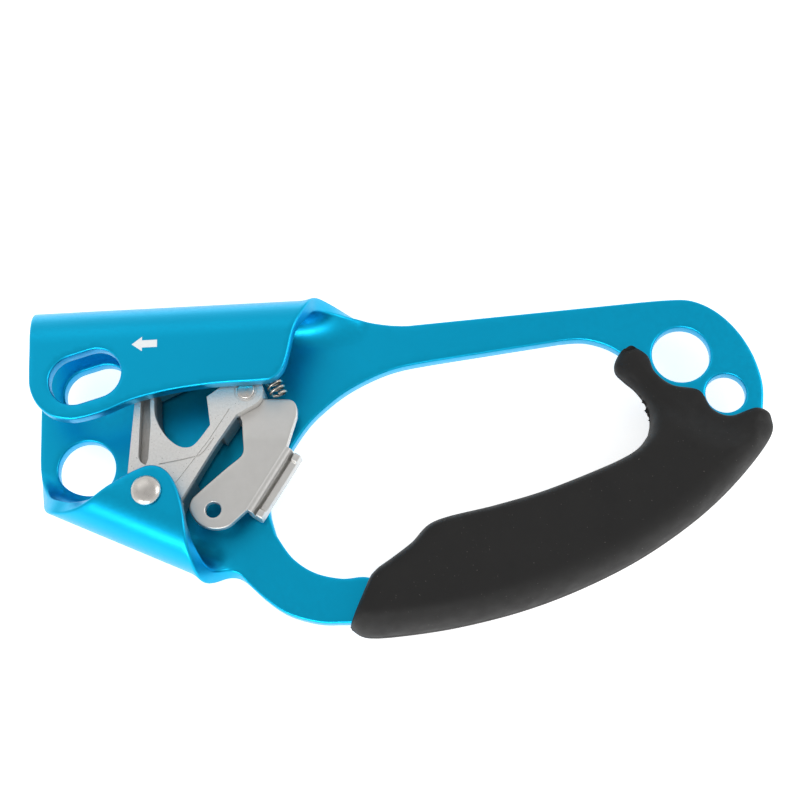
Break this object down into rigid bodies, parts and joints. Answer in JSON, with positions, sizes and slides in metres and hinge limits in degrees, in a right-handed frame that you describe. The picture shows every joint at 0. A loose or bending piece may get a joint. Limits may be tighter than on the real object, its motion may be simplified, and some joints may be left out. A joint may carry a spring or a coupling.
{
  "type": "handled rope ascender",
  "caption": "Handled rope ascender: folded aluminium frame with finger window, rubber grip, sprung toothed cam and sprung safety catch.",
  "frame": {"origin": "centre of the base of the bounding box; the ascender lies on its back", "axes": "+X down the rope from the upper attachment holes to the lower ones, +Y from the grip to the rope channel, +Z out of the front, where the flaps, cam and catch are"},
  "size_m": [0.1874, 0.0872, 0.031],
  "materials": {
    "frame_anodised": "satin blue anodised",
    "grip_rubber": "fine matte moulded rubber",
    "cam_cast_steel": "investment-cast steel, sand-textured, plated",
    "catch_stamped_steel": "tumbled stamped stainless steel",
    "rivet_steel": "polished rivet head",
    "spring_steel": "bright drawn wire",
    "bush_steel": "ground",
    "washer_polymer": "natural acetal"
  },
  "bodies": {
    "root": {"frame": "frame_anodised", "grip_front": "grip_rubber", "grip_rear": "grip_rubber", "cam_pivot_rivet": "rivet_steel", "cam_pivot_bush": "bush_steel", "cam_washer_rear": "washer_polymer", "cam_washer_front": "washer_polymer", "cam_return_spring": "spring_steel"},
    "cam_assembly": {"cam": "cam_cast_steel", "catch_pivot_pin": "rivet_steel", "catch_spring": "spring_steel"},
    "catch_assembly": {"safety_catch": "catch_stamped_steel"}
  },
  "joints": [
    {"name": "cam_pivot", "type": "hinge", "parent": "root", "child": "cam_assembly", "pos_m": [-0.06228, -0.00837, 0.0185], "axis": [0, 0, -1], "range_deg": [0, 24], "stiffness_Nm_per_rad": 0.05, "springref_deg": -34.38, "deforming": ["cam_return_spring"]},
    {"name": "catch_pivot", "type": "hinge", "parent": "cam_assembly", "child": "catch_assembly", "pos_m": [-0.03838, 0.01763, 0.01965], "axis": [0, 0, 1], "range_deg": [0, 25], "stiffness_Nm_per_rad": 0.02, "springref_deg": -34.38, "deforming": ["catch_spring"]}
  ]
}
